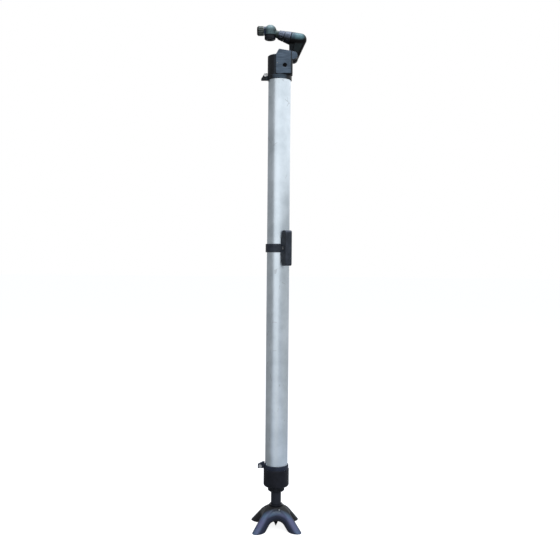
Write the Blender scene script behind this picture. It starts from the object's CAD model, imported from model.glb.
import math

import bpy
from mathutils import Matrix, Vector


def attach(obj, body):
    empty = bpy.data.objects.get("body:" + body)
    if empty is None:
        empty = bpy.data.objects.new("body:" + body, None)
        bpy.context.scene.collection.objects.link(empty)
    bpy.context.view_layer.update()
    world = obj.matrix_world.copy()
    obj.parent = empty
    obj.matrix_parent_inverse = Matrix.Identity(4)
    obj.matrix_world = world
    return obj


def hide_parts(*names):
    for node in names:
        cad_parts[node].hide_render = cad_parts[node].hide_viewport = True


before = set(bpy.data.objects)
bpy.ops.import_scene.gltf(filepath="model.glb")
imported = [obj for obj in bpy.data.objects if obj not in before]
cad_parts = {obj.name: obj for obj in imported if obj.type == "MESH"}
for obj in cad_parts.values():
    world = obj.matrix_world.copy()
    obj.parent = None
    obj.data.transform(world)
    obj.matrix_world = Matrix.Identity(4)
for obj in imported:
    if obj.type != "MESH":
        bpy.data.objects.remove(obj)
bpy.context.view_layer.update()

# ---------------------------------------------------------------- camera and room
# The camera stands 1.3 m in front of the pump at about half its height, held level,
# with the least roll that a hand gives.  Its shift puts the pump where it stands.
frame_px = 560
focal_px = 740
aside_px = 1.95
down_px = -20.0
film_mm = 36.0
camera_data = bpy.data.cameras.new("camera")
camera_data.sensor_width = film_mm
camera_data.lens = film_mm * focal_px / frame_px
camera_data.shift_x = aside_px / frame_px
camera_data.shift_y = down_px / frame_px
camera_data.clip_start = 0.01
camera = bpy.data.objects.new("camera", camera_data)
camera.location = (0.0, -1.321, 0.475)
camera.rotation_euler = (math.radians(90.0), math.radians(-0.5), 0.0)
bpy.context.scene.collection.objects.link(camera)
bpy.context.scene.camera = camera
bpy.context.scene.view_settings.view_transform = "Standard"


def tone(code):
    """An sRGB hex colour as the linear colour that a shader takes."""
    parts = [int(code[i:i + 2], 16) / 255.0 for i in (0, 2, 4)]
    return [p / 12.92 if p <= 0.04045 else ((p + 0.055) / 1.055) ** 2.4 for p in parts] + [1.0]


def put(tree, kind, inputs=None, **settings):
    """Adds a node to a tree, with its settings and with values or links for its inputs.

    A map range's inputs 1 and 2 are the range that it reads, 3 and 4 the range that it
    gives, 0 to 1 where they are left out."""
    node = tree.nodes.new(kind)
    for key, value in settings.items():
        setattr(node, key, value)
    for key, value in (inputs or {}).items():
        if isinstance(value, bpy.types.NodeSocket):
            tree.links.new(value, node.inputs[key])
        else:
            node.inputs[key].default_value = value
    return node


# The floor is a wide pale sheet.  Seen directly it is close to white, and it keeps the
# pump's soft shadow; gloss sees it as a light grey floor.
floor_width = 40.0
floor_glow_seen = 0.87
floor_glow_in_gloss = 0.04
bpy.ops.mesh.primitive_plane_add(size=floor_width, location=(0.0, 0.0, 0.0))
floor = bpy.context.object
floor.name = "floor"
floor_paint = bpy.data.materials.new("studio_floor")
floor_paint.use_nodes = True
tree = floor_paint.node_tree
tree.nodes.clear()
matt = put(tree, "ShaderNodeBsdfDiffuse", {"Color": tone("B4B7BB")})
glow = put(tree, "ShaderNodeEmission", {"Color": tone("FFFFFF")})
rays = put(tree, "ShaderNodeLightPath").outputs
seen = put(tree, "ShaderNodeMath", {0: rays["Is Camera Ray"], 1: floor_glow_seen}, operation="MULTIPLY")
shine = put(tree, "ShaderNodeMath",
            {0: rays["Is Glossy Ray"], 1: floor_glow_in_gloss, 2: seen.outputs[0]},
            operation="MULTIPLY_ADD")
tree.links.new(shine.outputs[0], glow.inputs["Strength"])
both = put(tree, "ShaderNodeAddShader", {0: matt.outputs[0], 1: glow.outputs[0]})
put(tree, "ShaderNodeOutputMaterial", {"Surface": both.outputs[0]})
floor.data.materials.append(floor_paint)

# The room is an even pale grey, and white where the camera, gloss or glass sees it.
room_fill = 0.30
room_seen = 1.0
world = bpy.data.worlds.new("room")
bpy.context.scene.world = world
world.use_nodes = True
tree = world.node_tree
tree.nodes.clear()
rays = put(tree, "ShaderNodeLightPath").outputs
plain = put(tree, "ShaderNodeBackground", {"Color": tone("EEF3FF"), "Strength": room_fill})
white = put(tree, "ShaderNodeBackground", {"Color": tone("FFFFFF"), "Strength": room_seen})
direct = put(tree, "ShaderNodeMath", {0: rays["Is Camera Ray"], 1: rays["Is Transmission Ray"]},
             operation="MAXIMUM")
clear = put(tree, "ShaderNodeMath", {0: direct.outputs[0], 1: rays["Is Glossy Ray"]},
            operation="MAXIMUM")
mixed = put(tree, "ShaderNodeMixShader", {0: clear.outputs[0], 1: plain.outputs[0], 2: white.outputs[0]})
put(tree, "ShaderNodeOutputWorld", {"Surface": mixed.outputs[0]})


def gloss_card(name, place, turn, size, level):
    """A plain card that only gloss sees, as a studio flag or reflector."""
    turned = [math.radians(t) for t in turn]
    bpy.ops.mesh.primitive_plane_add(size=1.0, location=place, rotation=turned)
    card = bpy.context.object
    card.name = name
    card.scale = (size[0], size[1], 1.0)
    card.visible_camera = False
    card.visible_diffuse = False
    card.visible_shadow = False
    paint = bpy.data.materials.new(name)
    paint.use_nodes = True
    tree = paint.node_tree
    tree.nodes.clear()
    glow = put(tree, "ShaderNodeEmission", {"Color": tone("FFFFFF"), "Strength": level})
    put(tree, "ShaderNodeOutputMaterial", {"Surface": glow.outputs[0]})
    card.data.materials.append(paint)


# Grey cards at the sides and a dark mat on the left give the barrel its dark left side and
# its quieter right side.  Paler mats and a white card in front give its soft middle light.
lying = (0.0, 0.0, 0.0)
gloss_card("left_card", (-0.6, 0.675, 0.75), turn=(0.0, 90.0, 0.0), size=(1.5, 2.45), level=0.30)
gloss_card("left_mat", (-0.36, 0.45, 0.001), turn=lying, size=(0.48, 1.4), level=0.20)
gloss_card("right_card", (0.6, 0.55, 0.33), turn=(0.0, -90.0, 0.0), size=(0.66, 2.7), level=0.50)
gloss_card("front_near", (0.0, -0.9, 0.002), turn=lying, size=(0.6, 1.0), level=0.52)
gloss_card("front_far", (-0.78, -2.0, 0.003), turn=lying, size=(2.45, 1.2), level=0.70)
gloss_card("front_card", (-0.9, -2.6, 0.33), turn=(-90.0, 0.0, 0.0), size=(3.0, 0.66), level=1.02)


def softbox(name, place, target, size, power, tint):
    """A rectangular soft light at place that faces target."""
    light = bpy.data.lights.new(name, "AREA")
    light.shape = "RECTANGLE"
    light.size, light.size_y = size
    light.energy = power
    light.color = tone(tint)[:3]
    lamp = bpy.data.objects.new(name, light)
    lamp.location = place
    lamp.rotation_euler = (Vector(target) - Vector(place)).to_track_quat("-Z", "Y").to_euler()
    bpy.context.scene.collection.objects.link(lamp)
    return lamp


key = softbox("key_right", (0.9, -1.4, 1.55), target=(0.0, 0.0, 0.7), size=(1.3, 1.3),
              power=20.0, tint="FFFFFF")
key.visible_glossy = False
softbox("overhead", (0.05, -0.15, 2.1), target=(0.0, 0.0, 0.5), size=(0.9, 0.9),
        power=26.0, tint="F2F7FF")

# ------------------------------------------------------------------------- barrel
# A drawn aluminium tube, satin anodised, pushed over a cap at each end.  Drawing leaves
# faint lines along it, and use leaves cloudy marks and a few short scratches.
cross_lines_per_m = 2000.0
long_lines_per_m = 12.0
line_depth = 0.0002
clouds_per_m = 25.0
scratch_cells_per_m = (34.0, 34.0, 20.0)
scratch_lean = (0.5, 0.3, 0.0)
scratch_patches_per_m = 60.0


def dress(paint, *names):
    """Gives a material to CAD nodes."""
    for name in names:
        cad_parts[name].material_slots[0].material = paint


def coloured(ramp, first_at, first, last_at, last):
    """Sets the two colours of a ramp and where they stand."""
    for stop, at, code in zip(ramp.color_ramp.elements, (first_at, last_at), (first, last)):
        stop.position = at
        stop.color = tone(code)


# satin anodised aluminium: a bright, slightly blue metal with a blurred, streaky shine
anodised = bpy.data.materials.new("anodised_aluminium")
anodised.use_nodes = True
tree = anodised.node_tree
metal = tree.nodes["Principled BSDF"].inputs
metal["Metallic"].default_value = 1.0
here = put(tree, "ShaderNodeTexCoord").outputs["Object"]
# draw lines 0.5 mm apart, very long along the tube; real ones are finer, and these are
# drawn coarser so that they show
stretched = put(tree, "ShaderNodeMapping",
                {"Vector": here, "Scale": (cross_lines_per_m, cross_lines_per_m, long_lines_per_m)})
lines = put(tree, "ShaderNodeTexNoise", {"Vector": stretched.outputs[0], "Scale": 1.0, "Detail": 2.0})
# cloudy handling marks about 40 mm across
clouds = put(tree, "ShaderNodeTexNoise",
             {"Vector": here, "Scale": clouds_per_m, "Detail": 5.0, "Roughness": 0.6})
shade = put(tree, "ShaderNodeValToRGB", {"Fac": clouds.outputs["Fac"]})
coloured(shade, 0.35, "D3E0EA", 0.62, "E8F4FE")
# short scratches: the edges of cells about 30 by 50 mm, kept only where a second noise
# peaks, and drawn 0.4 to 0.8 mm wide, coarser than real ones, so that they show
leaning = put(tree, "ShaderNodeMapping",
              {"Vector": here, "Scale": scratch_cells_per_m, "Rotation": scratch_lean})
cells = put(tree, "ShaderNodeTexVoronoi", {"Vector": leaning.outputs[0], "Scale": 1.0},
            feature="DISTANCE_TO_EDGE")
line = put(tree, "ShaderNodeMapRange",
           {"Value": cells.outputs["Distance"], 1: 0.006, 2: 0.014, 3: 1.0, 4: 0.0})
patch = put(tree, "ShaderNodeTexNoise", {"Vector": here, "Scale": scratch_patches_per_m, "Detail": 0.0})
kept = put(tree, "ShaderNodeMapRange", {"Value": patch.outputs["Fac"], 1: 0.63, 2: 0.66, 4: 0.35})
scratch = put(tree, "ShaderNodeMath", {0: line.outputs[0], 1: kept.outputs[0]}, operation="MULTIPLY")
cut = put(tree, "ShaderNodeMixRGB",
          {"Fac": scratch.outputs[0], "Color1": shade.outputs[0], "Color2": tone("8A9094")})
tree.links.new(cut.outputs[0], metal["Base Color"])
gloss = put(tree, "ShaderNodeMapRange", {"Value": clouds.outputs["Fac"], 1: 0.3, 2: 0.7, 3: 0.30, 4: 0.40})
tree.links.new(gloss.outputs[0], metal["Roughness"])
relief = put(tree, "ShaderNodeBump",
             {"Height": lines.outputs["Fac"], "Strength": 0.05, "Distance": line_depth})
tree.links.new(relief.outputs[0], metal["Normal"])
dress(anodised, "barrel_tube")

# --------------------------------------------------------------------- rubber foot
# One moulded rubber piece: four tube-like legs joined by arches under a shallow hub.
# Moulding leaves every hollow softly filleted; dust lies on the crests.
weld_reach = 0.00001
ease_share = 0.5
scuffs_per_m = 90.0
grit_depth = 0.0002
rub_front_y = (-0.016, -0.025)
rub_side_x = (-0.015, 0.015)
rub_side_lean = 0.22
hues_per_m = 45.0
sole_trim = 0.0003


def copy_of(name, title):
    """A CAD node's shape as a new piece with its triangles joined."""
    piece = bpy.data.objects.new(title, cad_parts[name].data.copy())
    bpy.context.scene.collection.objects.link(piece)
    bpy.ops.object.select_all(action="DESELECT")
    piece.select_set(True)
    bpy.context.view_layer.objects.active = piece
    bpy.ops.object.mode_set(mode="EDIT")
    bpy.ops.mesh.select_all(action="SELECT")
    bpy.ops.mesh.remove_doubles(threshold=weld_reach)
    bpy.ops.mesh.normals_make_consistent(inside=False)
    bpy.ops.object.mode_set(mode="OBJECT")
    piece.data.materials.clear()
    return piece


def remould(node, title, body, paint, grain, passes):
    """Makes a node again as a moulding: an even skin with its edges rounded."""
    piece = copy_of(node, title)
    skin = piece.modifiers.new("skin", "REMESH")
    skin.mode = "VOXEL"
    skin.voxel_size = grain
    ease = piece.modifiers.new("ease", "SMOOTH")
    ease.factor = ease_share
    ease.iterations = passes
    for modifier in ("skin", "ease"):
        bpy.ops.object.modifier_apply(modifier=modifier)
    bpy.ops.object.shade_smooth()
    piece.data.materials.append(paint)
    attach(piece, body)
    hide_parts(node)
    return piece


def moulded(name, deep, worn, dust, rough, dusting, grit_mm=0.7, spec=0.2, lean=0.0, start=-0.05,
            full=0.6):
    """A moulded skin: cloudy scuffs, paler edges, and dust on the faces that look up, or
    up and sideways (front or back) where lean is above 0."""
    paint = bpy.data.materials.new(name)
    paint.use_nodes = True
    tree = paint.node_tree
    face = tree.nodes["Principled BSDF"].inputs
    face["IOR"].default_value = 1.5
    face["Specular IOR Level"].default_value = spec
    here = put(tree, "ShaderNodeTexCoord").outputs
    # scuffs about 11 mm across
    scuff = put(tree, "ShaderNodeTexNoise",
                {"Vector": here["Object"], "Scale": scuffs_per_m, "Detail": 6.0, "Roughness": 0.65})
    shade = put(tree, "ShaderNodeValToRGB", {"Fac": scuff.outputs["Fac"]})
    coloured(shade, 0.4, deep, 0.75, worn)
    bend = put(tree, "ShaderNodeNewGeometry")
    edge = put(tree, "ShaderNodeMapRange", {"Value": bend.outputs["Pointiness"], 1: 0.53, 2: 0.62, 4: 0.6})
    rubbed = put(tree, "ShaderNodeMixRGB",
                 {"Fac": edge.outputs[0], "Color1": shade.outputs[0], "Color2": tone(dust)})
    # dust by facing: the normal with its front and back folded together
    facing = put(tree, "ShaderNodeSeparateXYZ", {"Vector": here["Normal"]})
    sideways = put(tree, "ShaderNodeMath", {0: facing.outputs["Y"]}, operation="ABSOLUTE")
    folded = put(tree, "ShaderNodeCombineXYZ", {"Y": sideways.outputs[0], "Z": facing.outputs["Z"]})
    looks = put(tree, "ShaderNodeVectorMath",
                {0: folded.outputs[0], 1: Vector((0.0, lean, 1.0)).normalized()},
                operation="DOT_PRODUCT")
    lying = put(tree, "ShaderNodeMapRange", {"Value": looks.outputs["Value"], 1: start, 2: full, 4: dusting})
    thin = put(tree, "ShaderNodeMapRange", {"Value": scuff.outputs["Fac"], 1: 0.35, 2: 0.6, 3: 0.55, 4: 1.0})
    cover = put(tree, "ShaderNodeMath", {0: lying.outputs[0], 1: thin.outputs[0]}, operation="MULTIPLY")
    dusted = put(tree, "ShaderNodeMixRGB",
                 {"Fac": cover.outputs[0], "Color1": rubbed.outputs[0], "Color2": tone(dust)})
    tree.links.new(dusted.outputs[0], face["Base Color"])
    gloss = put(tree, "ShaderNodeMapRange",
                {"Value": scuff.outputs["Fac"], 1: 0.3, 2: 0.7, 3: rough - 0.06, 4: rough + 0.1})
    tree.links.new(gloss.outputs[0], face["Roughness"])
    # the mould's grain; a real one is about 0.2 mm, and this is drawn coarser so that it shows
    grit = put(tree, "ShaderNodeTexNoise",
               {"Vector": here["Object"], "Scale": 1000.0 / grit_mm, "Detail": 1.0})
    relief = put(tree, "ShaderNodeBump",
                 {"Height": grit.outputs["Fac"], "Strength": 0.12, "Distance": grit_depth})
    tree.links.new(relief.outputs[0], face["Normal"])
    return paint


def opened(paint):
    """A paint's tree, the colour that it has so far, and the coordinates on its piece."""
    tree = paint.node_tree
    under = tree.nodes["Principled BSDF"].inputs["Base Color"].links[0].from_socket
    return tree, under, put(tree, "ShaderNodeTexCoord").outputs


def recolour(tree, colour):
    """Lets a node give the paint its colour."""
    tree.links.new(colour.outputs[0], tree.nodes["Principled BSDF"].inputs["Base Color"])


# natural rubber: a soft brown-black, rubbed to slate blue where the front legs and the
# arch between them face up and forward
rubber = moulded("moulded_rubber", "121315", "1B1C1F", "2B2E33", rough=0.42, grit_mm=0.8, dusting=0.35,
                 spec=0.3)
tree, under, here = opened(rubber)
place = put(tree, "ShaderNodeSeparateXYZ", {"Vector": here["Object"]})
facing = put(tree, "ShaderNodeSeparateXYZ", {"Vector": here["Normal"]})
up_and_forward = put(tree, "ShaderNodeVectorMath", {0: here["Normal"], 1: (0.0, -0.6, 0.8)},
                     operation="DOT_PRODUCT")
front = put(tree, "ShaderNodeMapRange",
            {"Value": place.outputs["Y"], 1: rub_front_y[0], 2: rub_front_y[1]})
side = put(tree, "ShaderNodeMapRange",
           {"Value": place.outputs["X"], 1: rub_side_x[0], 2: rub_side_x[1], 3: -rub_side_lean,
            4: rub_side_lean})
outward = put(tree, "ShaderNodeMath",
              {0: side.outputs[0], 1: facing.outputs["X"], 2: up_and_forward.outputs["Value"]},
              operation="MULTIPLY_ADD")
# a wide navy shade, and a narrow pale one on the crests
wide = put(tree, "ShaderNodeMapRange", {"Value": outward.outputs[0], 1: -0.40, 2: 0.50, 4: 0.9})
wide = put(tree, "ShaderNodeMath", {0: wide.outputs[0], 1: front.outputs[0]}, operation="MULTIPLY")
navy = put(tree, "ShaderNodeMixRGB", {"Fac": wide.outputs[0], "Color1": under, "Color2": tone("252C42")})
narrow = put(tree, "ShaderNodeMapRange", {"Value": outward.outputs[0], 1: 0.76, 2: 0.98, 4: 0.97})
narrow = put(tree, "ShaderNodeMath", {0: narrow.outputs[0], 1: front.outputs[0]}, operation="MULTIPLY")
# the pale shade wavers between blue and violet over about 22 mm
hues = put(tree, "ShaderNodeTexNoise", {"Vector": here["Object"], "Scale": hues_per_m, "Detail": 2.0})
hue = put(tree, "ShaderNodeMapRange", {"Value": hues.outputs["Fac"], 1: 0.40, 2: 0.60})
pale = put(tree, "ShaderNodeMixRGB",
           {"Fac": hue.outputs[0], "Color1": tone("50677F"), "Color2": tone("5A5E7F")})
recolour(tree, put(tree, "ShaderNodeMixRGB",
                   {"Fac": narrow.outputs[0], "Color1": navy.outputs[0], "Color2": pale.outputs[0]}))
foot = remould("foot", "rubber_foot", "foot_plunger", rubber, grain=0.0009, passes=14)
# the soles stay flat on the floor
for vertex in foot.data.vertices:
    vertex.co.z = 0.0 if vertex.co.z < sole_trim else vertex.co.z

# ------------------------------------------------------------------ plunger and nose
# The plunger is a dark tube pressed into the foot's socket and held by a cross pin; a
# pointed nose with slots lets the water in below it.
# filled nylon, injection moulded: a blue-black, even, slightly glossy skin
black_nylon = moulded("black_nylon", "12141B", "20222B", "2F333D", rough=0.42, dusting=0.45)
remould("intake_nose", "nose", "foot_plunger", black_nylon, grain=0.0003, passes=2)
remould("foot_socket", "socket", "foot_plunger", black_nylon, grain=0.0003, passes=2)
dress(black_nylon, "plunger_tube")

# --------------------------------------------------------------- bottom cap and gland
# A black nylon cup closes the barrel's lower end; a notched nut under it holds the
# plunger's seal and wiper.  Both are moulded.
remould("bottom_cap", "lower_cap", "barrel", black_nylon, grain=0.00045, passes=3)
remould("gland_nut", "rod_gland", "barrel", black_nylon, grain=0.00035, passes=3)

# -------------------------------------------------------------------- clamp bands
# Split nylon bands pull the cap's and the head's skirts onto the barrel, each with one
# steel screw through its two ears.  The upper one follows with the head.
# the same nylon, paler and bluer where hands and weather have dulled it
band_nylon = moulded("navy_grey_nylon", "1F2533", "2E3546", "434C5C", rough=0.38, dusting=0.45)
remould("bottom_clamp", "lower_band", "barrel", band_nylon, grain=0.0003, passes=3)

# --------------------------------------------------------------------------- head
# A turned and milled acetal block on the barrel's top.  Its flat face and tower are
# rubbed to slate; its round side stays nearly black.
tower_foot_z = (0.847, 0.841)
rim_from_z = (0.836, 0.840)
streaks_per_m = (60.0, 60.0, 330.0)
streak_lean = (0.0, 0.12, 0.0)


def rubbed_front(name, edge, turn, deep, pale, lower_deep, lower_pale):
    """Black acetal that is rubbed to slate where it faces forward, right of x = edge."""
    paint = moulded(name, "16181A", "222428", "454E5C", rough=0.36, dusting=0.6)
    tree, under, here = opened(paint)
    facing = put(tree, "ShaderNodeSeparateXYZ", {"Vector": here["Normal"]})
    place = put(tree, "ShaderNodeSeparateXYZ", {"Vector": here["Object"]}).outputs
    front = put(tree, "ShaderNodeMapRange", {"Value": facing.outputs["Y"], 1: turn, 2: turn - 0.17})
    reach = put(tree, "ShaderNodeMapRange", {"Value": place["X"], 1: edge - 0.0035, 2: edge + 0.002})
    flat = put(tree, "ShaderNodeMath", {0: front.outputs[0], 1: reach.outputs[0]}, operation="MULTIPLY")
    # rubbed streaks lie across the face, about 3 mm high
    across = put(tree, "ShaderNodeMapping",
                 {"Vector": here["Object"], "Scale": streaks_per_m, "Rotation": streak_lean})
    smear = put(tree, "ShaderNodeTexNoise", {"Vector": across.outputs[0], "Scale": 1.0, "Detail": 3.0})
    slate = put(tree, "ShaderNodeValToRGB", {"Fac": smear.outputs["Fac"]})
    lower = put(tree, "ShaderNodeValToRGB", {"Fac": smear.outputs["Fac"]})
    coloured(slate, 0.35, deep, 0.7, pale)
    coloured(lower, 0.35, lower_deep, 0.7, lower_pale)
    down = put(tree, "ShaderNodeMapRange", {"Value": place["Z"], 1: tower_foot_z[0], 2: tower_foot_z[1]})
    both = put(tree, "ShaderNodeMixRGB",
               {"Fac": down.outputs[0], "Color1": slate.outputs[0], "Color2": lower.outputs[0]})
    handled = put(tree, "ShaderNodeMixRGB",
                  {"Fac": flat.outputs[0], "Color1": under, "Color2": both.outputs[0]})
    # the tower's edges are worn pale
    bend = put(tree, "ShaderNodeNewGeometry")
    high = put(tree, "ShaderNodeMapRange", {"Value": place["Z"], 1: rim_from_z[0], 2: rim_from_z[1]})
    rim = put(tree, "ShaderNodeMapRange", {"Value": bend.outputs["Pointiness"], 1: 0.515, 2: 0.58, 4: 0.7})
    rim = put(tree, "ShaderNodeMath", {0: rim.outputs[0], 1: high.outputs[0]}, operation="MULTIPLY")
    recolour(tree, put(tree, "ShaderNodeMixRGB",
                       {"Fac": rim.outputs[0], "Color1": handled.outputs[0], "Color2": tone("84879A")}))
    return paint


# milled acetal: a black that handling has greyed on the faces and left dark in the round
head_acetal = rubbed_front("black_acetal", -0.007, -0.82, deep="2D3640", pale="434E5A",
                           lower_deep="43505D", lower_pale="5B6A79")
band_acetal = rubbed_front("black_acetal_band", -0.0215, -0.78, deep="35414C", pale="4A5966",
                           lower_deep="35414C", lower_pale="4A5966")
remould("head_body", "pump_head", "barrel", head_acetal, grain=0.0005, passes=3)
remould("top_clamp", "upper_band", "barrel", band_acetal, grain=0.0003, passes=3)

# --------------------------------------------------------------------- spout elbow
# A one-piece nylon elbow swings on the head's hollow pin.  Its back is faded and dusty,
# its inner side stays dark.
sleeve_side_x = (0.029, 0.025)
lower_leg_z = (0.8665, 0.8605)
# sun-faded nylon: chalky teal-grey on the back, lilac towards the sleeve, black below
arm_nylon = moulded("arm_nylon", "08080A", "101113", "5A7A81", rough=0.40, dusting=1.0, spec=0.12,
                    lean=1.9, start=0.66, full=0.96)
tree, under, here = opened(arm_nylon)
place = put(tree, "ShaderNodeSeparateXYZ", {"Vector": here["Object"]}).outputs
near_joint = put(tree, "ShaderNodeMapRange",
                 {"Value": place["X"], 1: sleeve_side_x[0], 2: sleeve_side_x[1], 4: 0.85})
lilac = put(tree, "ShaderNodeMixRGB",
            {"Fac": near_joint.outputs[0], "Color1": under, "Color2": tone("C8BCCB")},
            blend_type="MULTIPLY")
low_leg = put(tree, "ShaderNodeMapRange",
              {"Value": place["Z"], 1: lower_leg_z[0], 2: lower_leg_z[1], 4: 0.92})
recolour(tree, put(tree, "ShaderNodeMixRGB",
                   {"Fac": low_leg.outputs[0], "Color1": lilac.outputs[0], "Color2": tone("080708")}))
remould("arm_elbow", "spout_elbow", "spout_arm", arm_nylon, grain=0.0006, passes=24)

# ------------------------------------------------------------- sleeve and union nut
# A short sleeve and a fluted union nut, both moulded, join the tap to the elbow; a dark
# gasket shows between sleeve and elbow as a thin line.
# sun-faded nylon again, lilac-grey on its upper side
lilac_nylon = moulded("lilac_grey_nylon", "121318", "1C1E26", "646D7F", rough=0.38, dusting=1.0,
                      spec=0.15, lean=1.9, start=0.62, full=0.95)
remould("arm_sleeve", "sleeve", "spout_arm", lilac_nylon, grain=0.0003, passes=2)
remould("union_nut", "fluted_nut", "spout_arm", lilac_nylon, grain=0.0003, passes=2)

# The joint's gasket is the union's own, wider and thinner, and moved along the spout.  The
# neck is the spout's narrow end, and the spout rises 15.8 degrees from the elbow to it.
neck = Matrix.Translation((-0.00341, 0.0006, 0.87723)) @ Matrix.Rotation(math.radians(105.8), 4, "Y")
gasket_from_neck = 0.0106
gasket_width = 0.0014
joint_from_neck = 0.02285
joint_width = 0.0007
wider = 11.2 / 5.3
# pressed rubber: matt black, a dark line
gasket_rubber = moulded("gasket_rubber", "0A0B0C", "121314", "1A1B1C", rough=0.55, dusting=0.0)
ring = copy_of("union_gasket", "joint_ring")
stretch = (Matrix.Translation((0.0, 0.0, joint_from_neck))
           @ Matrix.Diagonal((wider, wider, joint_width / gasket_width, 1.0))
           @ Matrix.Translation((0.0, 0.0, -gasket_from_neck)))
ring.data.transform(neck @ stretch @ neck.inverted())
ring.data.materials.append(gasket_rubber)
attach(ring, "spout_arm")

# ----------------------------------------------------------------------------- tap
# A small round moulded tap with its outlet ring below and a gland nut at its side, which
# keeps the plug's stem in.
neck_end_x = (-0.0085, -0.0068)
plug_slimmer = 0.0005
# faded nylon, grey-green above and olive on the neck
tap_nylon = moulded("tap_nylon", "101214", "1A1E20", "6E868A", rough=0.34, dusting=0.95, spec=0.15,
                    lean=1.5, start=0.45, full=0.97)
tree, under, here = opened(tap_nylon)
place = put(tree, "ShaderNodeSeparateXYZ", {"Vector": here["Object"]}).outputs
neck_part = put(tree, "ShaderNodeMapRange", {"Value": place["X"], 1: neck_end_x[0], 2: neck_end_x[1], 4: 0.8})
recolour(tree, put(tree, "ShaderNodeMixRGB",
                   {"Fac": neck_part.outputs[0], "Color1": under, "Color2": tone("2A332E")}))
# nylon kept from the sun: a deep navy black
navy_nylon = moulded("navy_nylon", "121824", "1C2636", "3A4C64", rough=0.36, dusting=0.6)
remould("tap_body", "tap_housing", "spout_arm", tap_nylon, grain=0.0004, passes=4)
remould("outlet_ring", "spout_ring", "spout_arm", black_nylon, grain=0.00025, passes=2)
remould("tap_gland_nut", "stem_gland", "spout_arm", navy_nylon, grain=0.00025, passes=2)
# the plug is drawn slimmer, so that it turns free of the softened bore
plug = remould("tap_plug", "plug_and_stem", "tap_valve", navy_nylon, grain=0.00025,
               passes=2)
slim = plug.modifiers.new("slim", "DISPLACE")
slim.mid_level = 0.0
slim.strength = -plug_slimmer
bpy.ops.object.modifier_apply(modifier="slim")

# ---------------------------------------------------------------------------- knob
# A ribbed knob of olive-grey nylon on the tap's stem, moulded in one and held by one
# screw.
dark_end_x = (-0.0372, -0.0388)
# weathered nylon: a dry olive grey with little shine, dark on its outer end
olive_nylon = moulded("olive_nylon", "3A403D", "505653", "606864", rough=0.46, dusting=0.6)
tree, under, here = opened(olive_nylon)
place = put(tree, "ShaderNodeSeparateXYZ", {"Vector": here["Object"]}).outputs
end = put(tree, "ShaderNodeMapRange", {"Value": place["X"], 1: dark_end_x[0], 2: dark_end_x[1]})
recolour(tree, put(tree, "ShaderNodeMixRGB",
                   {"Fac": end.outputs[0], "Color1": under, "Color2": tone("0D0E0E")}))
remould("tap_knob", "knob", "tap_valve", olive_nylon, grain=0.00022, passes=2)

# ---------------------------------------------------------------------------- clip
# A moulded strap round the barrel carries a moulded block on its right; one screw and
# nut close it.
# nylon with a bloom: a cool mid grey, a little paler on top
grey_nylon = moulded("grey_nylon", "2A2F36", "3E444D", "5C6270", rough=0.40, dusting=0.6)
remould("clip_block", "clip_handle", "barrel", grey_nylon, grain=0.0005, passes=4)
remould("clip_strap", "clip_band", "barrel", grey_nylon, grain=0.0003, passes=2)

# --------------------------------------------------------------------- inner pieces
# The piston, its valve and the outlet valve are turned from acetal, with bearing-plastic
# guide rings; seals are moulded nitrile.  They sit inside the barrel, head and spout.
# acetal: a clean, slightly waxy white
white_acetal = moulded("white_acetal", "DCDCD5", "E6E6E0", "D8D8D0", rough=0.35, dusting=0.0)
# filled bearing plastic: ivory and matt
ivory_bearing = moulded("ivory_bearing", "D6CFB2", "E0DABF", "D2CAAA", rough=0.40, dusting=0.0)
# nitrile rubber: an even, dull black
nitrile = moulded("nitrile_rubber", "1A1A1B", "262627", "2C2C2D", rough=0.50, dusting=0.0)
dress(white_acetal, "piston_body", "piston_cage", "outlet_seat", "outlet_cage")
dress(ivory_bearing, "piston_guide_ring", "guide_bush")
dress(nitrile, "bumper", "piston_seals", "wiper_ring", "rod_seal", "barrel_gaskets", "pin_orings",
      "stem_oring", "union_gasket")

# ------------------------------------------------------------------ steel fasteners
# Screws, nuts, pins and balls are stainless steel, turned and tumbled; the seat screw
# is blackened and the locating pin is weathered.
marks_per_m = 900.0


def turned_steel(name, dark, bright, low_gloss, high_gloss):
    """Turned and tumbled steel with fine marks, drawn 1 mm apart so that they show."""
    paint = bpy.data.materials.new(name)
    paint.use_nodes = True
    tree = paint.node_tree
    metal = tree.nodes["Principled BSDF"].inputs
    metal["Metallic"].default_value = 1.0
    here = put(tree, "ShaderNodeTexCoord").outputs["Object"]
    marks = put(tree, "ShaderNodeTexNoise", {"Vector": here, "Scale": marks_per_m, "Detail": 4.0})
    shade = put(tree, "ShaderNodeValToRGB", {"Fac": marks.outputs["Fac"]})
    coloured(shade, 0.0, dark, 1.0, bright)
    tree.links.new(shade.outputs[0], metal["Base Color"])
    gloss = put(tree, "ShaderNodeMapRange",
                {"Value": marks.outputs["Fac"], 1: 0.3, 2: 0.7, 3: low_gloss, 4: high_gloss})
    tree.links.new(gloss.outputs[0], metal["Roughness"])
    return paint


# stainless is bright with a soft shine, blackened steel nearly black and dull, and
# weathered steel a flat grey
stainless = turned_steel("stainless_steel", "A9ABAE", "CFD1D3", low_gloss=0.22, high_gloss=0.38)
blackened = turned_steel("blackened_steel", "121213", "1E1E20", low_gloss=0.45, high_gloss=0.60)
weathered = turned_steel("weathered_steel", "747A82", "9AA0A8", low_gloss=0.50, high_gloss=0.65)
dress(stainless, "clamp_screws", "clamp_nuts", "pivot_pin", "clip_screw", "clip_nut", "knob_screw",
      "foot_pin", "piston_ball", "outlet_ball")
dress(blackened, "seat_screw")
dress(weathered, "locating_pin")
